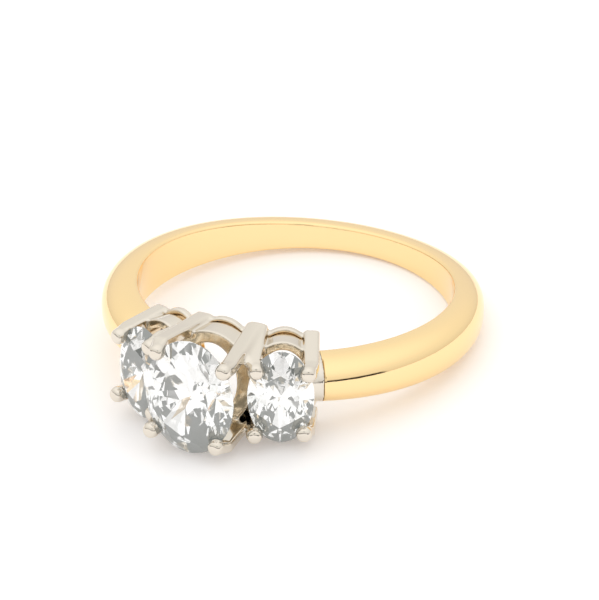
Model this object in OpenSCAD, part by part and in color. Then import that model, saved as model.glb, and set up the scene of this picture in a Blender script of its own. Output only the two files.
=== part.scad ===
// Three stone ring, lying on its side as it rests by itself.
// A yellow gold band with a white gold head of three claw baskets, each holding
// one oval brilliant. The long way of each stone runs along the finger.
// Millimetres. The head points to -Y, +X is to the right, and Z = 0 is the table.

/* [Finger hole] */
// Inside diameter of the ring
finger_d = 16.8; // [14:0.1:22]

/* [Band] */
// Width of the band opposite the head
width_back = 1.46; // [1.2:0.02:3]
// Width of the band half way round
width_side = 2.56; // [1.6:0.02:4]
// Width that the band would reach under the middle stone
width_head = 2.28; // [1.6:0.02:4]
// Thickness of the band opposite the head
thick_back = 1.5; // [1.1:0.05:2.2]
// Thickness of the band half way round
thick_side = 1.74; // [1.2:0.02:2.4]
// Thickness that the band would reach under the middle stone
thick_head = 2.18; // [1.4:0.02:2.8]
// How square the outside of the band is, 2 is a plain half oval
band_square = 2.6; // [2:0.1:4]
// Softened edge inside the band
band_edge = 0.2; // [0.1:0.02:0.3]
// Where the yellow band ends, in degrees from the middle stone
band_end = 32.8; // [32:0.1:36]

/* [Stones] */
// Middle stone across the finger
middle_w = 4.9; // [4.6:0.1:5.1]
// Middle stone along the finger
middle_l = 6.2; // [5.8:0.1:6.6]
// From the finger's middle to the widest line of the middle stone
middle_r = 12.8; // [12.5:0.1:13.2]
// Side stones across the finger
side_w = 3.4; // [3.2:0.1:3.6]
// Side stones along the finger
side_l = 5.08; // [4.8:0.02:5.3]
// From the finger's middle to the widest line of a side stone
side_r = 11.45; // [11.2:0.05:11.8]
// Turn round the finger from the middle stone to the right one
right_turn = 21; // [20:0.1:22]
// Turn round the finger from the middle stone to the left one
left_turn = 18.2; // [18:0.1:21]
// How far the left basket sits towards the lower edge
left_drop = 0.25; // [0:0.05:0.3]
// Air between a stone and the metal
stone_gap = 0.04; // [0.03:0.01:0.06]

/* [Claws] */
// Width of a claw round the finger
claw_w = 0.8; // [0.6:0.05:0.9]
// Thickness of a claw along the finger
claw_t = 0.62; // [0.5:0.02:0.7]
// Radius of the bead that ends a claw
bead_r = 0.42; // [0.38:0.01:0.45]

/* [Solder joint] */
// Hairline between the yellow band and the white shoulders
joint_gap = 0.03; // [0.02:0.01:0.06]

/* [Hidden] */

finger_r = finger_d / 2;
gold = [0.93, 0.74, 0.40];
white_gold = [0.84, 0.83, 0.81];
diamond = [0.90, 0.94, 0.97];

// Gallery rail of each basket, next to the finger: near and far side, and its outside
rail_near = finger_r + 0.1;
rail_far = finger_r + 0.5;
rail_wall = 0.5;
rail_soft = 0.1;
// Finger side of the collars, just off the rails, and how far their walls lean outwards
collar_near = finger_r + 0.65;
collar_lean = 0.07;
// Steps round an oval, and steps along the band
oval_steps = 40;
band_steps = 64;
shoulder_steps = 4;
// How far a white shoulder runs under the side basket, in degrees
shoulder_reach = 4.6;
dome_steps = 14;
// Corners lie on a grid of this many steps a millimetre, so that skins cross in clean edges
grid = 1000;

// One row for each basket: turn round the finger, stone radius, half width and half length
// of the stone, of the gallery rail, of the collar and of its bore, how far out the collar
// reaches, and how far the basket sits off the band's middle line
B_TURN = 0;
B_R = 1;
B_HALF_W = 2;
B_HALF_L = 3;
B_RAIL_W = 4;
B_RAIL_L = 5;
B_COLLAR_W = 6;
B_COLLAR_L = 7;
B_BORE_W = 8;
B_BORE_L = 9;
B_COLLAR_FAR = 10;
B_SHIFT = 11;
middle = [0, middle_r, middle_w / 2, middle_l / 2, 1.95, 2.74, 2.33, 2.65, 1.46, 1.97, 10.36, 0];
right = [right_turn, side_r, side_w / 2, side_l / 2, 1.72, 2.6, 1.84, 2.47, 1.33, 1.99, 10.18, 0];
left = [-left_turn, side_r, side_w / 2, side_l / 2, 1.72, 2.7, 1.93, 2.52, 1.35, 2.03, 10.16, -left_drop];

// One row for each claw: its foot on the gallery rail and its bead, each across the finger
// and along it, in its own basket's frame. Neighbours share a foot. The ring is set by
// hand, so no two claws bend alike
C_FOOT = 0;
C_BEAD = 1;
middle_claws = [
    [[-1.25, 2.3], [-1.6, 2.4]],
    [[1.55, 2.3], [2.12, 2.1]],
    [[1.55, -2.3], [1.75, -2.2]],
    [[-1.25, -2.3], [-1.9, -2.05]]];
right_claws = [
    [[-1.32, 2.28], [-1.24, 1.6]],
    [[1.35, 2.16], [1.4, 1.58]],
    [[1.35, -2.16], [1.24, -1.77]],
    [[-1.32, -2.28], [-1.27, -2]]];
left_claws = [
    [[-1.4, 2.1], [-1.26, 1.8]],
    [[1.55, 2.4], [0.95, 1.93]],
    [[1.5, -2.2], [1.22, -1.72]],
    [[-1.35, -2.05], [-1.36, -1.55]]];
// How far out a claw stands where it passes its stone, where 1 is the stone's edge
claw_stand = 1.1;
function post(b, row) =
    let (bead = row[C_BEAD])
    bead * claw_stand / norm([bead[0] / b[B_HALF_W], bead[1] / b[B_HALF_L]]);
// Where a claw turns in over its stone, below the stone's widest line, and its bead above it
claw_knee = 0.23;
bead_rise = 0.5;
claw_corner = 0.16;
// The claws' feet start inside the gallery rail, off its finger side
claw_foot = rail_near + 0.11;

// The value of a size that runs smoothly from back to side to head, at an angle from the head
function round_size(back, side, head, angle) =
    ((head + back) / 2 + side) / 2 + (head - back) / 2 * cos(angle)
    + ((head + back) / 2 - side) / 2 * cos(2 * angle);
function band_width(angle) = round_size(width_back, width_side, width_head, angle);
function band_thick(angle) = round_size(thick_back, thick_side, thick_head, angle);

// A place by its turn round the finger, its distance from the finger's middle and its height
function around(turn, radius, height) = [radius * sin(turn), -radius * cos(turn), height];
// A place in a basket: across the finger, along it, and out from the finger's middle
function in_basket(b, across, along, out) =
    let (turn = b[B_TURN])
    [out * sin(turn) + across * cos(turn), -out * cos(turn) + across * sin(turn), along + b[B_SHIFT]];

// Half round outline of the band at an angle, its inside sunk for the finger hole to cut.
// The outside comes first, so that the flat ends fan from a corner clear of the hole
function band_outline(angle) =
    let (half = band_width(angle) / 2, thick = band_thick(angle) - band_edge, power = 2 / band_square)
    concat(
        [for (i = [0:dome_steps]) let (a = 90 - 180 * i / dome_steps)
            around(angle, finger_r + band_edge + thick * pow(max(cos(a), 0), power),
                   half * sign(sin(a)) * pow(abs(sin(a)), power))],
        [around(angle, finger_r + 0.3 * band_edge, 0.3 * band_edge - half),
         around(angle, finger_r - 0.2, 1.8 * band_edge - half),
         around(angle, finger_r - 0.2, half - 1.8 * band_edge),
         around(angle, finger_r + 0.3 * band_edge, half - 0.3 * band_edge)]);

// The skin over a row of outlines, closed on itself or ended with flat caps
module skin(outlines, closed = false) {
    n = len(outlines);
    m = len(outlines[0]);
    walls = [for (i = [0:(closed ? n - 1 : n - 2)], j = [0:m - 1])
        let (a = i * m + j, b = i * m + (j + 1) % m, c = (i + 1) % n * m + (j + 1) % m, d = (i + 1) % n * m + j)
        each [[a, c, b], [a, d, c]]];
    caps = closed ? [] : [[for (j = [0:m - 1]) j], [for (j = [m - 1:-1:0]) (n - 1) * m + j]];
    polyhedron([for (outline = outlines, p = outline) [for (v = p) round(v * grid) / grid]], concat(walls, caps));
}

module band_piece(from, to, steps) {
    skin([for (i = [0:steps]) band_outline(from + (to - from) * i / steps)]);
}

module finger_hole() {
    cylinder(r = finger_r, h = 2 * width_side + 4, center = true, $fn = 180);
}

// An oval hoop round a basket's own axis. Each row of the section gives the half width and
// the half length of the oval there, and how far out from the finger's middle it lies
module hoop(b, section) {
    skin([for (i = [0:oval_steps - 1]) let (a = 360 * i / oval_steps)
        [for (row = section) in_basket(b, row[0] * cos(a), row[1] * sin(a), row[2])]], closed = true);
}

module gallery_rail(b) {
    w = b[B_RAIL_W];
    l = b[B_RAIL_L];
    hoop(b, [
        [w - rail_wall, l - rail_wall, rail_near],
        [w - rail_wall, l - rail_wall, rail_far],
        [w - rail_soft, l - rail_soft, rail_far],
        [w, l, rail_far - rail_soft],
        [w, l, rail_near + rail_soft],
        [w - rail_soft, l - rail_soft, rail_near]]);
}

// The low collar between the claws, flat on its stone side, well clear of the stone
module collar(b) {
    hoop(b, [
        [b[B_BORE_W], b[B_BORE_L], collar_near],
        [b[B_BORE_W], b[B_BORE_L], b[B_COLLAR_FAR]],
        [b[B_COLLAR_W], b[B_COLLAR_L], b[B_COLLAR_FAR]],
        [b[B_COLLAR_W] - collar_lean, b[B_COLLAR_L] - collar_lean, collar_near]]);
}

// A flat bar's outline with taken off corners, in a basket's frame, level with the stone
function bar_outline(b, place, out) =
    let (x = claw_w / 2, y = claw_t / 2, c = claw_corner)
    [for (p = [[x, y - c], [x - c, y], [c - x, y], [-x, y - c], [-x, c - y], [c - x, -y], [x - c, -y], [x, c - y]])
        in_basket(b, place[0] + p[0], place[1] + p[1], out)];

module claws(b, rows) {
    slice = 0.05;
    for (row = rows) {
        knee = bar_outline(b, post(b, row), b[B_R] - claw_knee);
        skin([bar_outline(b, row[C_FOOT], claw_foot), knee]);
        hull() {
            skin([knee, bar_outline(b, post(b, row), b[B_R] - claw_knee + slice)]);
            translate(in_basket(b, row[C_BEAD][0], row[C_BEAD][1], b[B_R] + bead_rise))
                rotate([0, 0, b[B_TURN]]) sphere(r = bead_r, $fn = 16);
        }
    }
}

// Oval brilliant: table, 8 stars, 8 kites, 16 upper and 16 lower halves and 8 pavilion
// mains. The halves meet a round girdle, which gives its edges their scallops.
girdle_steps = 48;
table_part = 0.58;
star_part = 0.78;
crown_height = 0.32;
girdle_height = 0.05;
pavilion_depth = 0.86;
half_part = 0.24;

// Crown in units of the girdle's radius: heights come from the planes of the kites
function star_height() = crown_height * (1 - star_part * cos(22.5)) / (1 - table_part);
// The height below the plane of the halves at an angle past a kite's foot, on the round girdle
function scallop(rise, reach, angle) =
    let (a = angle % 22.5, b = floor(angle / 22.5) % 2 == 0 ? 22.5 - a : a,
         dip = (cos(11.25 - b) - cos(11.25)), run = cos(11.25) - reach * cos(11.25))
    rise * dip / run;

module oval_brilliant(b, grow = 0) {
    w = b[B_HALF_W] + grow;
    l = b[B_HALF_L] + grow;
    up = min(b[B_HALF_W], b[B_HALF_L]);
    function spot(part, angle, height) =
        in_basket(b, part * w * cos(angle), part * l * sin(angle), b[B_R] + height * up + sign(height) * grow);
    half_height = pavilion_depth * (1 - half_part * cos(22.5));
    n = girdle_steps;
    top = [for (k = [0:7]) spot(table_part, 45 * k, girdle_height / 2 + crown_height)];
    stars = [for (k = [0:7]) spot(star_part, 45 * k + 22.5, girdle_height / 2 + star_height())];
    rim_up = [for (k = [0:n - 1]) let (a = 360 * k / n)
        spot(1, a, girdle_height / 2 - scallop(star_height(), star_part, a) + 0.0001)];
    rim_low = [for (k = [0:n - 1]) let (a = 360 * k / n)
        spot(1, a, -girdle_height / 2 + scallop(half_height, half_part, a) - 0.0001)];
    deep = [for (k = [0:7]) spot(half_part, 45 * k + 22.5, -girdle_height / 2 - half_height)];
    culet = [spot(0, 0, -girdle_height / 2 - pavilion_depth)];
    T = 0;
    S = 8;
    U = 16;
    L = U + n;
    D = L + n;
    C = D + 8;
    step = n / 16;
    faces = concat(
        [[for (k = [7:-1:0]) T + k]],
        [for (k = [0:7]) let (next = (k + 1) % 8) [T + k, T + next, S + k]],
        [for (k = [0:7]) [T + k, S + k, U + 2 * k * step, S + (k + 7) % 8]],
        [for (k = [0:15]) concat([S + floor(k / 2)],
            [for (i = [step:-1:0]) U + (k * step + i) % n])],
        [for (k = [0:n - 1]) let (next = (k + 1) % n) [U + k, U + next, L + next, L + k]],
        [for (k = [0:15]) concat([D + floor(k / 2)],
            [for (i = [0:step]) L + (k * step + i) % n])],
        [for (k = [0:7]) [C, D + (k + 7) % 8, L + 2 * k * step, D + k]]);
    polyhedron(concat(top, stars, rim_up, rim_low, deep, culet), faces);
}

// Resting: the gallery rail of the lower, left basket touches the table in front, and the
// edge of the band touches it at two neighbouring outlines, right of the back
touch_step = 23;
touch_point = dome_steps - 1;
touch_front = in_basket(left, 0, -left[B_RAIL_L], rail_near + rail_soft);
function touch_band(i) = band_outline(band_end + (360 - 2 * band_end) * i / band_steps)[touch_point];
rest_up = cross(touch_band(touch_step) - touch_front, touch_band(touch_step + 1) - touch_front);
rest_roll = atan2(-rest_up[0], rest_up[2]);
rest_tilt = atan2(rest_up[1], norm([rest_up[0], rest_up[2]]));
rest_lift = -touch_front * rest_up / norm(rest_up);
reach_front = (middle_r + bead_rise) * cos(rest_tilt) + middle_claws[2][C_BEAD][1] * sin(rest_tilt) + bead_r;
reach_back = (finger_r + thick_back) * cos(rest_tilt);
rest_shift = (reach_front - reach_back) / 2;

// Puts what is drawn round the finger's middle as the ring rests on the table
module resting() {
    translate([0, rest_shift, rest_lift]) rotate([rest_tilt, 0, 0]) rotate([0, rest_roll, 0]) children();
}

module shank() {
    color(gold) resting() difference() {
        band_piece(band_end, 360 - band_end, band_steps);
        finger_hole();
    }
}

module shoulders() {
    end = band_end - atan(joint_gap / finger_r);
    band_piece(-end, shoulder_reach - end, shoulder_steps);
    band_piece(end - shoulder_reach, end, shoulder_steps);
}

module head() {
    color(white_gold) resting() difference() {
        union() {
            for (b = [middle, left, right]) {
                gallery_rail(b);
                collar(b);
            }
            claws(middle, middle_claws);
            claws(left, left_claws);
            claws(right, right_claws);
            shoulders();
        }
        finger_hole();
        for (b = [middle, left, right]) oval_brilliant(b, stone_gap);
    }
}

module stone_middle() {
    color(diamond) resting() oval_brilliant(middle);
}

module stone_left() {
    color(diamond) resting() oval_brilliant(left);
}

module stone_right() {
    color(diamond) resting() oval_brilliant(right);
}

shank();
head();
stone_middle();
stone_left();
stone_right();
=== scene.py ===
import math

import bpy
import numpy as np
from mathutils import Matrix


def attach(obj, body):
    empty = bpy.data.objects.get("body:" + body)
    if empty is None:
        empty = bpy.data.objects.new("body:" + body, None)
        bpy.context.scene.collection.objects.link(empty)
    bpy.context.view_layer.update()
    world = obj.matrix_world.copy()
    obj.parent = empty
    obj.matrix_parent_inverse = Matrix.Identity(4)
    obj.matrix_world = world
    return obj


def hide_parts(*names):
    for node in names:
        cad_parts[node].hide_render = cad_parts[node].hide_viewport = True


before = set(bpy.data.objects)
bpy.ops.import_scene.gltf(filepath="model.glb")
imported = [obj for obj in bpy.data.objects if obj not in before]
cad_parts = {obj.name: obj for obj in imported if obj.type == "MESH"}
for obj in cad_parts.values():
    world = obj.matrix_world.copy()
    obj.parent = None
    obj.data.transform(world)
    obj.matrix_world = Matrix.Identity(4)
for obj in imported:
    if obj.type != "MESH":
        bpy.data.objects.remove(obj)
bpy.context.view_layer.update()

# Sizes in millimetres and degrees, as the part's source names them
MM = 0.001
FINGER_R = 8.4
BAND_WIDTH = {"back": 1.46, "side": 2.56, "head": 2.28}
BAND_THICK = {"back": 1.5, "side": 1.74, "head": 2.18}
BAND_SQUARE = 2.6
BAND_EDGE = 0.2
BAND_END = 32.8
SHOULDER_REACH = 4.6
# Outlines along the source's band and steps over its dome, which decide where it touches
# the table, and the two neighbouring outlines that touch
BAND_STEPS = 64
DOME_STEPS = 14
TOUCH_STEPS = (23, 24)
# The solder joint is closed to a hairline here, and the source keeps it a little wider
JOINT_GAP = 0.005
# Air between a stone and the metal
STONE_GAP = 0.04

RAIL_NEAR = FINGER_R + 0.1
RAIL_FAR = FINGER_R + 0.5
RAIL_WALL = 0.5
RAIL_SOFT = 0.1
COLLAR_NEAR = FINGER_R + 0.65
COLLAR_LEAN = 0.07

CLAW_W = 0.8
CLAW_T = 0.62
CLAW_FOOT = RAIL_NEAR + 0.11
CLAW_STAND = 1.1
CLAW_KNEE = 0.23
CLAW_CORNER = 0.16
BEAD_R = 0.42
BEAD_RISE = 0.5

# Each basket: turn round the finger, stone's place and half sizes, half sizes of rail, collar
# and the collar's bore, how far out the collar reaches, shift along the finger, and its
# claws as (foot, bead), each (across, along)
BASKETS = {
    "middle": {
        "turn": 0.0, "r": 12.8, "half": (2.45, 3.1), "rail": (1.95, 2.74),
        "collar": (2.33, 2.65), "bore": (1.46, 1.97), "far": 10.36, "shift": 0.0,
        "claws": [
            ((-1.25, 2.3), (-1.6, 2.4)),
            ((1.55, 2.3), (2.12, 2.1)),
            ((1.55, -2.3), (1.75, -2.2)),
            ((-1.25, -2.3), (-1.9, -2.05))]},
    "right": {
        "turn": 21.0, "r": 11.45, "half": (1.7, 2.54), "rail": (1.72, 2.6),
        "collar": (1.84, 2.47), "bore": (1.33, 1.99), "far": 10.18, "shift": 0.0,
        "claws": [
            ((-1.32, 2.28), (-1.24, 1.6)),
            ((1.35, 2.16), (1.4, 1.58)),
            ((1.35, -2.16), (1.24, -1.77)),
            ((-1.32, -2.28), (-1.27, -2.0))]},
    "left": {
        "turn": -18.2, "r": 11.45, "half": (1.7, 2.54), "rail": (1.72, 2.7),
        "collar": (1.93, 2.52), "bore": (1.35, 2.03), "far": 10.16, "shift": -0.25,
        "claws": [
            ((-1.4, 2.1), (-1.26, 1.8)),
            ((1.55, 2.4), (0.95, 1.93)),
            ((1.5, -2.2), (1.22, -1.72)),
            ((-1.35, -2.05), (-1.36, -1.55))]},
}


def deg_cos(angle):
    return np.cos(np.radians(angle))


def deg_sin(angle):
    return np.sin(np.radians(angle))


def round_size(size, angle):
    """A size of the band at an angle from the head, smooth from back to side to head."""
    mean = (size["head"] + size["back"]) / 2
    return ((mean + size["side"]) / 2 + (size["head"] - size["back"]) / 2 * deg_cos(angle)
            + (mean - size["side"]) / 2 * deg_cos(2 * angle))


def around(turn, radius, height):
    """Places by turn round the finger, distance from the finger's middle and height."""
    turn, radius, height = np.broadcast_arrays(turn, radius, height)
    return np.stack([radius * deg_sin(turn), -radius * deg_cos(turn), height], -1)


def from_basket(basket, across, along, out):
    """Places given across the finger, along it and out from it, in a basket's own frame."""
    c = deg_cos(basket["turn"])
    s = deg_sin(basket["turn"])
    across, along, out = np.broadcast_arrays(across, along, out)
    return np.stack([out * s + across * c, across * s - out * c, along + basket["shift"]], -1)


def to_basket(basket, p):
    """The reverse of from_basket, for an array of places."""
    c = deg_cos(basket["turn"])
    s = deg_sin(basket["turn"])
    x, y, z = p[..., 0], p[..., 1], p[..., 2]
    return x * c + y * s, z - basket["shift"], x * s - y * c


def resting_pose():
    """How the ring lies: turned, then lifted, so that a rail and the band touch the table."""
    left = BASKETS["left"]
    front = from_basket(left, 0, -left["rail"][1], RAIL_NEAR + RAIL_SOFT)
    touch = []
    for step in TOUCH_STEPS:
        angle = BAND_END + (360 - 2 * BAND_END) * step / BAND_STEPS
        u = 90 - 180 * (DOME_STEPS - 1) / DOME_STEPS
        power = 2 / BAND_SQUARE
        thick = round_size(BAND_THICK, angle) - BAND_EDGE
        half = round_size(BAND_WIDTH, angle) / 2
        touch.append(around(angle, FINGER_R + BAND_EDGE + thick * deg_cos(u) ** power,
                            -half * abs(deg_sin(u)) ** power))
    up = np.cross(touch[0] - front, touch[1] - front)
    up = up / np.linalg.norm(up)
    roll = math.atan2(-up[0], up[2])
    tilt = math.atan2(up[1], math.hypot(up[0], up[2]))
    turn = Matrix.Rotation(tilt, 3, "X") @ Matrix.Rotation(roll, 3, "Y")
    lowest = BASKETS["middle"]["claws"][2][1][1]
    reach_front = ((BASKETS["middle"]["r"] + BEAD_RISE) * math.cos(tilt)
                   + lowest * math.sin(tilt) + BEAD_R)
    reach_back = (FINGER_R + BAND_THICK["back"]) * math.cos(tilt)
    move = np.array([0, (reach_front - reach_back) / 2, -float(front @ up)])
    return np.array(turn), move


REST_TURN, REST_MOVE = resting_pose()


def add_piece(name, points, faces, material, node, smooth):
    """A mesh from places in millimetres round the finger's middle, laid down as the ring rests.
    It rides on the model, takes the given material and stands for a node of the source."""
    mesh = bpy.data.meshes.new(name)
    laid = (np.asarray(points) @ REST_TURN.T + REST_MOVE) * MM
    mesh.from_pydata(laid.tolist(), [], faces)
    mesh.polygons.foreach_set("use_smooth", [smooth] * len(mesh.polygons))
    mesh.materials.append(material)
    mesh.update()
    piece = bpy.data.objects.new(name, mesh)
    bpy.context.scene.collection.objects.link(piece)
    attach(piece, "root")
    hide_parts(node)
    return piece


# Materials


def colour(hex_text):
    """An sRGB hex colour as linear red, green, blue and alpha."""
    values = [int(hex_text[i:i + 2], 16) / 255 for i in (0, 2, 4)]
    linear = [v / 12.92 if v <= 0.04045 else ((v + 0.055) / 1.055) ** 2.4 for v in values]
    return (*linear, 1.0)


def add_node(tree, kind, settings=None, inputs=None):
    """Adds a node. An input takes a plain value or the output socket of another node."""
    node = tree.nodes.new(kind)
    for name, value in (settings or {}).items():
        setattr(node, name, value)
    for name, value in (inputs or {}).items():
        if isinstance(value, bpy.types.NodeSocket):
            tree.links.new(value, node.inputs[name])
        else:
            node.inputs[name].default_value = value
    return node


def new_material(name):
    material = bpy.data.materials.new(name)
    material.use_nodes = True
    material.node_tree.nodes.clear()
    return material, material.node_tree


def polished_metal(name, base, rough_low, rough_high, smudge_mm, scratch_mm, depth_mm, painted_reflection=None):
    """A polished and buffed metal: nearly a mirror, with faint cloudy patches left by the
    buffing wheel in its gloss, and hair scratches from wear that catch the light. Where a
    second colour is given, a point attribute blends the base colour towards it: a warm,
    darker painted reflection of the gold and painted shade on faces inside the baskets."""
    material, tree = new_material(name)
    place = add_node(tree, "ShaderNodeTexCoord").outputs["Object"]
    cloud = add_node(tree, "ShaderNodeTexNoise", None, {
        "Vector": place, "Scale": 1 / (smudge_mm * MM), "Detail": 3.0})
    rough = add_node(tree, "ShaderNodeMapRange", None, {
        "Value": cloud.outputs["Fac"], "From Min": 0.35, "From Max": 0.65,
        "To Min": rough_low, "To Max": rough_high})
    # The hair lines run round the finger more than across it. Real ones are about 0.01 mm
    # wide, and these are about 0.05 mm, so that they show
    stretch = add_node(tree, "ShaderNodeMapping", None, {
        "Vector": place, "Scale": (1.0, 1.0, 9.0)})
    hair = add_node(tree, "ShaderNodeTexNoise", None, {
        "Vector": stretch.outputs["Vector"], "Scale": 1 / (scratch_mm * MM), "Detail": 2.0,
        "Distortion": 0.4})
    bump = add_node(tree, "ShaderNodeBump", None, {
        "Height": hair.outputs["Fac"], "Distance": depth_mm * MM, "Strength": 1.0})
    shader = add_node(tree, "ShaderNodeBsdfPrincipled", None, {
        "Base Color": base, "Metallic": 1.0, "Roughness": rough.outputs["Result"],
        "Normal": bump.outputs["Normal"]})
    # A warm, darker colour is blended in by a point mask: painted reflection and painted shade inside the
    # baskets
    if painted_reflection:
        part = add_node(tree, "ShaderNodeAttribute", {"attribute_name": "painted_reflection"})
        reflection_ramp = add_node(tree, "ShaderNodeValToRGB", None, {"Fac": part.outputs["Fac"]})
        reflection_ramp.color_ramp.elements[0].color = base
        reflection_ramp.color_ramp.elements[1].color = painted_reflection
        tree.links.new(reflection_ramp.outputs["Color"], shader.inputs["Base Color"])
    add_node(tree, "ShaderNodeOutputMaterial", None, {"Surface": shader.outputs["BSDF"]})
    return material


def cut_diamond():
    """A polished diamond: clear, with a very high index that throws light back out of the top.
    A trace of glow stands for the light that bounces on past what is followed."""
    material, tree = new_material("polished_diamond")
    shader = add_node(tree, "ShaderNodeBsdfPrincipled", None, {
        "Base Color": colour("ffffff"), "Metallic": 0.0, "Roughness": 0.0, "IOR": 2.417,
        "Transmission Weight": 1.0, "Emission Color": colour("f6fbf4"), "Emission Strength": 0.032})
    add_node(tree, "ShaderNodeOutputMaterial", None, {"Surface": shader.outputs["BSDF"]})
    return material


def matt_paper():
    """White paper with a fine fibre grain, lit through a little from below: dull, so that it
    shows only soft, thin shadows."""
    material, tree = new_material("white_paper")
    place = add_node(tree, "ShaderNodeTexCoord").outputs["Object"]
    fibre = add_node(tree, "ShaderNodeTexNoise", None, {
        "Vector": place, "Scale": 1 / (0.6 * MM), "Detail": 2.0})
    bump = add_node(tree, "ShaderNodeBump", None, {
        "Height": fibre.outputs["Fac"], "Distance": 0.002 * MM, "Strength": 1.0})
    shader = add_node(tree, "ShaderNodeBsdfPrincipled", None, {
        "Base Color": colour("fdfcfc"), "Roughness": 0.9, "Normal": bump.outputs["Normal"],
        "Emission Color": colour("fff8f8"), "Emission Strength": 0.14})
    add_node(tree, "ShaderNodeOutputMaterial", None, {"Surface": shader.outputs["BSDF"]})
    return material


# Warm 18 carat gold, buffed almost to a mirror: broad soft reflections, deeper in colour
# where it mirrors itself
YELLOW_GOLD = polished_metal("polished_yellow_gold", colour("fddfa8"), 0.05, 0.1, 2.5, 0.5, 0.0008)
# Cast white gold under rhodium: a cool pale grey, a little duller than the band. Inside the
# baskets a warm straw colour is painted on, as a painted reflection of the gold and painted
# shade in the dim inside
WHITE_GOLD = polished_metal("rhodium_plated_white_gold", colour("e2dacd"), 0.06, 0.12, 1.2, 0.4, 0.0012,
                            painted_reflection=colour("e4cfae"))
DIAMOND = cut_diamond()


# The yellow band

# Steps along the band, over its dome and round each softened inner edge
LONG_STEPS = 400
DOME_FINE = 48
CORNER_FINE = 6
# How far the band's two ends are rounded
END_SOFT = 0.015


def band_section(angle):
    """The band's outline at an angle: outside dome, then round the two softened inner edges."""
    power = 2 / BAND_SQUARE
    half = round_size(BAND_WIDTH, angle) / 2
    thick = round_size(BAND_THICK, angle) - BAND_EDGE
    u = np.linspace(90, -90, DOME_FINE + 1)
    rows = [around(angle, FINGER_R + BAND_EDGE + thick * np.maximum(deg_cos(u), 0) ** power,
                   half * np.sign(deg_sin(u)) * abs(deg_sin(u)) ** power)]
    soft = 0.75 * BAND_EDGE
    v = np.linspace(0, 90, CORNER_FINE + 1)[1:]
    turn_in = around(angle, FINGER_R + BAND_EDGE * (1 - deg_sin(v)), soft * (1 - deg_cos(v)) - half)
    rows.append(turn_in)
    flat = half - soft
    rows.append(around(angle, FINGER_R, np.linspace(-flat, flat, 10)[1:-1]))
    rows.append(turn_in[::-1] * [1, 1, -1])
    return np.vstack(rows)


def yellow_band():
    """One sweep from shoulder to shoulder, with its two ends a little rounded."""
    angles = np.linspace(BAND_END, 360 - BAND_END, LONG_STEPS + 1)
    rings = [band_section(a) for a in angles]
    for end, inward in ((0, 1), (-1, -1)):
        middle = rings[end].mean(0)
        out = rings[end] - middle
        shrunk = middle + out * (1 - END_SOFT / np.linalg.norm(out, axis=1, keepdims=True))
        tuck = around(angles[end] + 90 * inward, END_SOFT, 0)
        rim = rings[end] + tuck
        rings[end] = shrunk
        rings = [shrunk, rim] + rings[1:] if end == 0 else rings[:-1] + [rim, shrunk]
    m = len(rings[0])
    n = len(rings)
    faces = []
    for i in range(n - 1):
        for j in range(m):
            k = (j + 1) % m
            faces.append((i * m + j, (i + 1) * m + j, (i + 1) * m + k, i * m + k))
    faces.append(tuple(range(m)))
    faces.append(tuple((n - 1) * m + j for j in reversed(range(m))))
    piece = add_piece("yellow_gold_band", np.vstack(rings), faces, YELLOW_GOLD,
                      "shank", True)
    piece.data.polygons[-1].use_smooth = False
    piece.data.polygons[-2].use_smooth = False
    return piece


# The stones

# Places of the facets' corners, from the middle to the girdle, and heights in units of the
# stone's half width
TABLE_PART = 0.58
STAR_PART = 0.78
CROWN_HEIGHT = 0.32
GIRDLE_HEIGHT = 0.05
PAVILION_DEPTH = 0.86
HALF_PART = 0.24
GIRDLE_STEPS = 96


def scallop(rise, reach, angle):
    """How far a girdle's edge lies below the tips of its scallops."""
    a = angle % 22.5
    b = np.where(np.floor(angle / 22.5) % 2 == 0, 22.5 - a, a)
    return rise * (deg_cos(11.25 - b) - deg_cos(11.25)) / (deg_cos(11.25) * (1 - reach))


def oval_brilliant(basket):
    """Corners and facets of an oval brilliant in its basket: table, 8 stars, 8 kites, 16
    upper halves, girdle, 16 lower halves and 8 mains. Also how many facets aren't girdle."""
    w, l = basket["half"]
    up = min(w, l)
    n = GIRDLE_STEPS
    star_height = CROWN_HEIGHT * (1 - STAR_PART * deg_cos(22.5)) / (1 - TABLE_PART)
    half_height = PAVILION_DEPTH * (1 - HALF_PART * deg_cos(22.5))
    eight = 45 * np.arange(8)
    rim = 360 / n * np.arange(n)

    def spots(part, angle, height):
        return from_basket(basket, part * w * deg_cos(angle), part * l * deg_sin(angle),
                           basket["r"] + height * up)

    corners = np.vstack([
        spots(TABLE_PART, eight, GIRDLE_HEIGHT / 2 + CROWN_HEIGHT),
        spots(STAR_PART, eight + 22.5, GIRDLE_HEIGHT / 2 + star_height),
        spots(1, rim, GIRDLE_HEIGHT / 2 - scallop(star_height, STAR_PART, rim)),
        spots(1, rim, -GIRDLE_HEIGHT / 2 + scallop(half_height, HALF_PART, rim)),
        spots(HALF_PART, eight + 22.5, -GIRDLE_HEIGHT / 2 - half_height),
        spots(0, 0.0, -GIRDLE_HEIGHT / 2 - PAVILION_DEPTH)[None]])
    star, above, below = 8, 16, 16 + n
    deep, culet = below + n, below + n + 8
    step = n // 16
    facets = [tuple(range(8))]
    for k in range(8):
        facets.append(((k + 1) % 8, k, star + k))
        facets.append((star + (k + 7) % 8, above + 2 * k * step, star + k, k))
        facets.append((deep + k, below + 2 * k * step, deep + (k + 7) % 8, culet))
    for k in range(16):
        edge = [(k * step + i) % n for i in range(step + 1)]
        facets.append((star + k // 2, *[above + i for i in edge]))
        facets.append((deep + k // 2, *[below + i for i in reversed(edge)]))
    flat = len(facets)
    for k in range(n):
        j = (k + 1) % n
        facets.append((above + k, below + k, below + j, above + j))
    return corners, facets, flat


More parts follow.
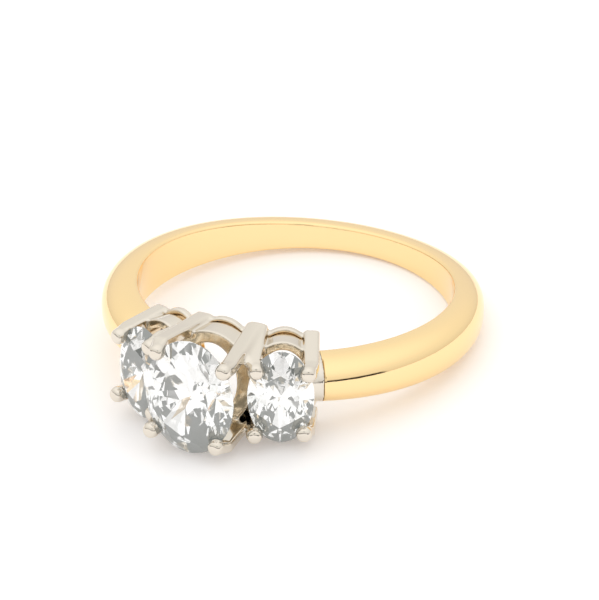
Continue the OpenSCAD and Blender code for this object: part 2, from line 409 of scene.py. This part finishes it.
def facet_planes(basket):
    """The stone's facets apart from its girdle, each as a unit normal and its distance."""
    corners, facets, flat = oval_brilliant(basket)
    middle = from_basket(basket, 0.0, 0.0, basket["r"])
    planes = []
    for facet in facets[:flat]:
        a, b, c = corners[facet[0]], corners[facet[len(facet) // 3]], corners[facet[-1]]
        normal = np.cross(b - a, c - a)
        normal = normal / np.linalg.norm(normal)
        if (a - middle) @ normal < 0:
            normal = -normal
        planes.append((normal, a @ normal))
    return planes


def stones():
    """The three diamonds, each with flat facets."""
    for name, basket in BASKETS.items():
        corners, facets, flat = oval_brilliant(basket)
        add_piece(f"oval_brilliant_{name}", corners, facets, DIAMOND,
                  f"stone_{name}", False)


# The white gold head: one soft skin over rails, collars, claws, beads and shoulders

# The corners of the space that the skin is sought in, and the size of its cells
HEAD_LOW = (-6.2, -13.95, -3.45)
HEAD_HIGH = (6.2, -6.9, 3.3)
SKIN_STEP = 0.066
# Fillets where cast forms meet, where claws are soldered on, and the web that fills the V
# between two claws with one foot
CAST_SOFT = 0.1
SOLDER = 0.22
WEB = 0.55
# Claws of two baskets that rise from one foot, and the claws that stand alone
SHARED_FEET = [("middle", 0, "left", 1), ("middle", 3, "left", 2),
               ("middle", 1, "right", 0), ("middle", 2, "right", 3)]
LONE_CLAWS = [("left", 0), ("left", 3), ("right", 1), ("right", 2)]


def soft_least(a, b, k):
    """The smaller of two distances, with a fillet where the forms meet."""
    h = np.maximum(k - abs(a - b), 0) / k
    return np.minimum(a, b) - h * h * k / 4


def soft_most(a, b, k):
    """The larger of two distances, with the edge where the forms meet taken off."""
    return -soft_least(-a, -b, k)


def oval_distance(x, y, half_w, half_l):
    """Distance to an oval, exact enough near its line."""
    far = np.hypot(x / half_w, y / half_l)
    slope = np.hypot(x / half_w ** 2, y / half_l ** 2)
    return far * (far - 1) / np.maximum(slope, 1e-9)


def soft_box(u, v, half_u, half_v, soft):
    """Distance to a rectangle with rounded corners, in its own plane."""
    qu = abs(u) - half_u + soft
    qv = abs(v) - half_v + soft
    return np.hypot(np.maximum(qu, 0), np.maximum(qv, 0)) + np.minimum(np.maximum(qu, qv), 0) - soft


def rail_form(basket, p):
    """The gallery rail next to the finger, an oval hoop with soft corners."""
    x, y, out = to_basket(basket, p)
    w, l = basket["rail"]
    wall = oval_distance(x, y, w, l) + RAIL_WALL / 2
    middle = (RAIL_NEAR + RAIL_FAR) / 2
    return soft_box(wall, out - middle, RAIL_WALL / 2, (RAIL_FAR - RAIL_NEAR) / 2, RAIL_SOFT)


def collar_form(basket, p):
    """The low collar between the claws: an oval hoop that leans outwards a little."""
    x, y, out = to_basket(basket, p)
    w, l = basket["collar"]
    lean = COLLAR_LEAN * np.clip((basket["far"] - out) / (basket["far"] - COLLAR_NEAR), 0, 1)
    outside = oval_distance(x, y, w - lean, l - lean)
    inside = -oval_distance(x, y, *basket["bore"])
    wall = soft_most(outside, inside, 0.04)
    ends = np.maximum(out - basket["far"], COLLAR_NEAR - out)
    return soft_most(wall, ends, 0.1)


def claw_post(basket, bead):
    """Where a claw passes its stone, beside the stone's edge in line with its bead."""
    w, l = basket["half"]
    bead = np.array(bead)
    return bead * CLAW_STAND / math.hypot(bead[0] / w, bead[1] / l)


def claw_form(basket, claw, p):
    """A flat bar from its foot on the rail to its knee beside the stone, then over the stone,
    where it grows into a bead."""
    x, y, out = to_basket(basket, p)
    foot, bead = claw
    post = claw_post(basket, bead)
    knee = basket["r"] - CLAW_KNEE
    top = basket["r"] + BEAD_RISE
    heights = [CLAW_FOOT, knee, top]
    cx = np.interp(out, heights, [foot[0], post[0], bead[0]])
    cy = np.interp(out, heights, [foot[1], post[1], bead[1]])
    grow = np.clip((out - knee) / (top - knee), 0, 1)
    half_w = CLAW_W / 2 + (BEAD_R * 0.96 - CLAW_W / 2) * grow
    half_t = CLAW_T / 2 + (BEAD_R * 0.96 - CLAW_T / 2) * grow
    corner = CLAW_CORNER + (BEAD_R * 0.9 - CLAW_CORNER) * grow
    bar = soft_box(x - cx, y - cy, half_w, half_t, corner)
    bar = soft_most(soft_most(bar, out - top, 0.1), CLAW_FOOT - out, 0.05)
    tip = np.sqrt((x - bead[0]) ** 2 + (y - bead[1]) ** 2 + (out - top) ** 2) - BEAD_R
    # The bead's top is pushed down a little by the setter's tool
    tip = soft_most(tip, out - top - BEAD_R * 0.8, 0.12)
    return soft_least(bar, tip, 0.08)


def claw_box(basket, claw):
    """The corners of the box that a claw lies in."""
    foot, bead = claw
    knots = np.array([foot, claw_post(basket, bead), bead])
    ends = from_basket(basket, knots[:, 0], knots[:, 1],
                       np.array([CLAW_FOOT, basket["r"] - CLAW_KNEE, basket["r"] + BEAD_RISE]))
    return ends.min(0) - 0.8, ends.max(0) + 0.8


def shoulder_form(p):
    """The white ends of the band, between the side baskets and the solder joints."""
    x, y, z = p[..., 0], p[..., 1], p[..., 2]
    far = np.hypot(x, y)
    angle = abs(np.degrees(np.arctan2(x, -y)))
    half = round_size(BAND_WIDTH, angle) / 2
    thick = round_size(BAND_THICK, angle) - BAND_EDGE
    up = np.maximum(far - FINGER_R - BAND_EDGE, 0) / thick
    q = (abs(z / half) ** BAND_SQUARE + up ** BAND_SQUARE) ** (1 / BAND_SQUARE)
    skin = (q - 1) * np.minimum(half, thick)
    end = BAND_END - math.degrees(math.atan(JOINT_GAP / FINGER_R))
    cut = np.maximum(angle - end, end - SHOULDER_REACH - angle) * math.radians(1) * far
    return soft_most(soft_most(skin, FINGER_R - far, 0.15), cut, 0.012)


def stone_form(basket, planes, p):
    """How far a place lies outside a stone, below zero inside it."""
    x, y, out = to_basket(basket, p)
    w, l = basket["half"]
    far = oval_distance(x, y, w, l)
    for normal, reach in planes:
        far = np.maximum(far, p @ normal - reach)
    return far


def head_forms():
    """Each form with the corners of the box that it lies in, and the fillet it is soldered
    on with, in millimetres."""
    forms = []
    for basket in BASKETS.values():
        reach = max(basket["collar"][1], basket["rail"][1]) + 0.5
        side = max(basket["collar"][0], basket["rail"][0]) + 0.5
        for form, low, high in ((rail_form, RAIL_NEAR, RAIL_FAR),
                                (collar_form, COLLAR_NEAR, basket["far"])):
            ends = from_basket(basket, np.array([-side, side, -side, side]), 0.0,
                               np.array([low, low, high, high]))
            box = np.array([ends.min(0) - [0.3, 0.3, reach], ends.max(0) + [0.3, 0.3, reach]])
            forms.append((lambda p, f=form, b=basket: f(b, p), box, CAST_SOFT))
    for side in (-1, 1):
        ends = around(side * np.array([BAND_END, BAND_END - SHOULDER_REACH]), np.array([[8.2], [10.8]]), 0.0)
        ends = ends.reshape(-1, 3)
        box = np.array([ends.min(0) - [0.3, 0.3, 1.6], ends.max(0) + [0.3, 0.3, 1.6]])
        forms.append((shoulder_form, box, CAST_SOFT))
    for first, i, second, j in SHARED_FEET:
        a, b = BASKETS[first], BASKETS[second]
        ca, cb = a["claws"][i], b["claws"][j]
        ends = np.array([claw_box(a, ca), claw_box(b, cb)])
        box = np.array([ends[:, 0].min(0), ends[:, 1].max(0)])
        forms.append((lambda p, a=a, b=b, ca=ca, cb=cb:
                      soft_least(claw_form(a, ca, p), claw_form(b, cb, p), WEB), box, SOLDER))
    for name, i in LONE_CLAWS:
        basket = BASKETS[name]
        claw = basket["claws"][i]
        forms.append((lambda p, b=basket, c=claw: claw_form(b, c, p),
                      np.array(claw_box(basket, claw)), SOLDER))
    return forms


FORMS = head_forms()
STONE_PLANES = {name: facet_planes(basket) for name, basket in BASKETS.items()}


def head_distance(p):
    """How far places lie outside the head's metal, below zero inside it."""
    flat = p.reshape(-1, 3)
    far = np.full(len(flat), 1.0)
    for form, box, fillet in FORMS:
        near = np.flatnonzero(((flat > box[0]) & (flat < box[1])).all(1))
        far[near] = soft_least(far[near], form(flat[near]), fillet)
    near = np.flatnonzero(far < 0.6)
    hole = FINGER_R - np.hypot(flat[near, 0], flat[near, 1])
    far[near] = soft_most(far[near], hole, 0.06)
    for name, basket in BASKETS.items():
        middle = from_basket(basket, 0.0, 0.0, basket["r"] - 0.5)
        near = np.flatnonzero((far < 0.6) & (abs(flat - middle) < basket["half"][1] + 0.5).all(1))
        cut = STONE_GAP - stone_form(basket, STONE_PLANES[name], flat[near])
        far[near] = soft_most(far[near], cut, 0.02)
    return far.reshape(p.shape[:-1])


def skin_over(distance, low, high, step):
    """Corners and four-sided faces of the surface where the distance is nothing: one corner
    in each cell that the surface passes through, at the middle of its crossings."""
    axes = [np.arange(a, b + step, step) for a, b in zip(low, high)]
    grid = np.stack(np.meshgrid(*axes, indexing="ij"), -1)
    value = np.concatenate([distance(part) for part in np.array_split(grid, 8)])
    inside = value < 0
    cells = np.array(value.shape) - 1
    total = np.zeros(tuple(cells) + (3,))
    count = np.zeros(tuple(cells))
    offsets = [(0, 0), (0, 1), (1, 0), (1, 1)]
    for axis in range(3):
        others = [a for a in range(3) if a != axis]
        for o in offsets:
            pick = [slice(0, c) for c in cells]
            for a, shift in zip(others, o):
                pick[a] = slice(shift, shift + cells[a])
            ahead = list(pick)
            ahead[axis] = slice(1, cells[axis] + 1)
            a, b = value[tuple(pick)], value[tuple(ahead)]
            cross = (a < 0) != (b < 0)
            t = np.where(cross, a / np.where(cross, a - b, 1), 0)
            place = np.zeros(3)
            for other, shift in zip(others, o):
                place[other] = shift
            total[cross] += place
            total[..., axis][cross] += t[cross]
            count += cross
    used = count > 0
    index = np.full(tuple(cells), -1)
    index[used] = np.arange(used.sum())
    corner = np.argwhere(used) + total[used] / count[used][:, None]
    points = np.array(low) + corner * step
    faces = []
    for axis in range(3):
        b, c = [a for a in range(3) if a != axis]
        here = [slice(1, n) for n in cells]
        here[axis] = slice(0, cells[axis])
        ahead = list(here)
        ahead[axis] = slice(1, cells[axis] + 1)
        first, second = inside[tuple(here)], inside[tuple(ahead)]
        where = np.argwhere(first != second)
        start = where.copy()
        start[:, b] += 1
        start[:, c] += 1
        quads = []
        for db, dc in ((-1, -1), (0, -1), (0, 0), (-1, 0)):
            spot = start.copy()
            spot[:, b] += db
            spot[:, c] += dc
            quads.append(index[tuple(spot.T)])
        quads = np.stack(quads, 1)
        outward = first[tuple(where.T)]
        if axis == 1:
            outward = ~outward
        quads[~outward] = quads[~outward][:, ::-1]
        faces.append(quads)
    return points, np.vstack(faces)


def draw_onto(distance, points, rounds):
    """Moves each point along the slope until it lies on the surface."""
    tiny = 0.004
    steps = np.array([[1, -1, -1], [-1, -1, 1], [-1, 1, -1], [1, 1, 1]]) * tiny
    for _ in range(rounds):
        slope = sum(distance(points + s)[:, None] * s for s in steps) / (4 * tiny * tiny)
        size = np.maximum((slope ** 2).sum(1), 0.2)[:, None]
        move = -distance(points)[:, None] * slope / size
        points = points + np.clip(move, -0.03, 0.03)
    return points


def painted_reflection_mask(points):
    """1 where the painted reflection and painted shade go, in the bores, on the collars' tops and
    the rails' stone sides, and 0 on the outside."""
    painted_reflection = np.zeros(len(points))
    for basket in BASKETS.values():
        x, y, out = to_basket(basket, points)
        for sizes, low, high in ((basket["collar"], COLLAR_NEAR, basket["far"]),
                                 (basket["rail"], RAIL_NEAR, RAIL_FAR)):
            deep = np.clip((-0.04 - oval_distance(x, y, *sizes)) / 0.1, 0, 1)
            deep = deep * np.clip((high + 0.1 - out) / 0.06, 0, 1) * np.clip((out - low + 0.02) / 0.1, 0, 1)
            painted_reflection = np.maximum(painted_reflection, deep)
    return painted_reflection


def white_head():
    """The head's skin, with the places that take the painted reflection and painted shade kept in an
    attribute.
    """
    points, faces = skin_over(head_distance, HEAD_LOW, HEAD_HIGH, SKIN_STEP)
    points = draw_onto(head_distance, points, 3)
    piece = add_piece("white_gold_head", points, faces.tolist(), WHITE_GOLD,
                      "head", True)
    # Marks the faces inside the baskets that take the painted reflection and painted shade
    painted_reflection = piece.data.attributes.new("painted_reflection", "FLOAT", "POINT")
    painted_reflection.data.foreach_set("value", painted_reflection_mask(points).astype(np.float32))
    return piece


yellow_band()
stones()
white_head()


# Floor, light and camera


def floor():
    """A plain sheet of paper, so wide that its edge lies at the tent's foot."""
    mesh = bpy.data.meshes.new("floor")
    half = 1.2
    mesh.from_pydata([(-half, -half, 0), (half, -half, 0), (half, half, 0), (-half, half, 0)],
                     [], [(0, 1, 2, 3)])
    mesh.materials.append(matt_paper())
    sheet = bpy.data.objects.new("floor", mesh)
    bpy.context.scene.collection.objects.link(sheet)


def toward(turn, above):
    """A direction by its turn from -Y towards +X and its height above the table, in degrees."""
    turn, above = math.radians(turn), math.radians(above)
    return (math.cos(above) * math.sin(turn), -math.cos(above) * math.cos(turn), math.sin(above))


def light_tent():
    """A white light tent: bright above and a little greyer low down. It is open to the dark
    room along low slits on one side and in front, and the lens looks in through a small
    round hole."""
    world = bpy.data.worlds.new("light_tent")
    world.use_nodes = True
    tree = world.node_tree
    tree.nodes.clear()
    way = add_node(tree, "ShaderNodeTexCoord").outputs["Generated"]
    parts = add_node(tree, "ShaderNodeSeparateXYZ", None, {"Vector": way})
    ramp = add_node(tree, "ShaderNodeValToRGB", None, {"Fac": parts.outputs["Z"]})
    stops = [(0.0, "d2d0ce"), (0.1, "dcdad8"), (0.3, "e5e4e2"), (0.5, "eaeae8"),
             (0.75, "f6f6f5"), (1.0, "ffffff")]
    while len(ramp.color_ramp.elements) < len(stops):
        ramp.color_ramp.elements.new(0.5)
    for element, (spot, tone) in zip(ramp.color_ramp.elements, stops):
        element.position = spot
        element.color = colour(tone)
    # Each dark patch: its middle, the cosines where it fades in, and the heights where it ends
    dark = 0.0
    for middle, reach, heights, depth in (
            (toward(60, 0), (0.925, 0.955), (0.2, 0.13), 1.0),
            (toward(-12, 0), (0.6, 0.75), (0.14, 0.09), 0.9),
            (toward(24, 31), (0.991, 0.9945), (2.0, 1.9), 1.0)):
        aside = add_node(tree, "ShaderNodeVectorMath", {"operation": "DOT_PRODUCT"}, {0: way, 1: middle})
        side = add_node(tree, "ShaderNodeMapRange", {"interpolation_type": "SMOOTHSTEP"}, {
            "Value": aside.outputs["Value"], "From Min": reach[0], "From Max": reach[1], "To Max": depth})
        low = add_node(tree, "ShaderNodeMapRange", {"interpolation_type": "SMOOTHSTEP"}, {
            "Value": parts.outputs["Z"], "From Min": heights[0], "From Max": heights[1]})
        patch = add_node(tree, "ShaderNodeMath", {"operation": "MULTIPLY"}, {
            0: side.outputs["Result"], 1: low.outputs["Result"]})
        dark = add_node(tree, "ShaderNodeMath", {"operation": "MAXIMUM"}, {
            0: patch.outputs["Value"], 1: dark}).outputs["Value"]
    # The mix node's colour sockets are numbered 6 and 7, and its colour result is number 2
    tone = add_node(tree, "ShaderNodeMix", {"data_type": "RGBA"}, {
        0: dark, 6: ramp.outputs["Color"], 7: colour("2a2624")})
    back = add_node(tree, "ShaderNodeBackground", None, {"Color": tone.outputs[2], "Strength": 1.21})
    add_node(tree, "ShaderNodeOutputWorld", None, {"Surface": back.outputs["Background"]})
    bpy.context.scene.world = world


def photo_camera():
    """A long lens at the photograph's angle, aimed in the ring's own frame and laid down
    with the ring. Lengths in millimetres."""
    away = 200.0
    above = math.radians(25.2)
    roll = math.radians(-1.2)
    aside = math.radians(24.2)
    across, along = -0.2, -0.05
    right = np.array([1.0, 0.0, 0.0])
    up = np.array([0.0, math.sin(above), math.cos(above)])
    back = np.array([0.0, -math.cos(above), math.sin(above)])
    place = -across * right - along * up + away * back
    image_right = math.cos(roll) * right - math.sin(roll) * up
    image_up = math.sin(roll) * right + math.cos(roll) * up
    swing = np.array(Matrix.Rotation(aside, 3, "Z"))
    turn = REST_TURN @ swing
    columns = np.stack([turn @ image_right, turn @ image_up, turn @ back], 1)
    matrix = Matrix(columns.tolist()).to_4x4()
    matrix.translation = ((turn @ place + REST_MOVE) * MM).tolist()
    camera_data = bpy.data.cameras.new("camera")
    camera_data.lens = 225.6
    camera_data.sensor_width = 36.0
    camera_data.clip_start = 0.005
    camera = bpy.data.objects.new("camera", camera_data)
    bpy.context.scene.collection.objects.link(camera)
    camera.matrix_world = matrix
    bpy.context.scene.camera = camera


floor()
light_tent()
photo_camera()
bpy.context.scene.view_settings.view_transform = "Standard"
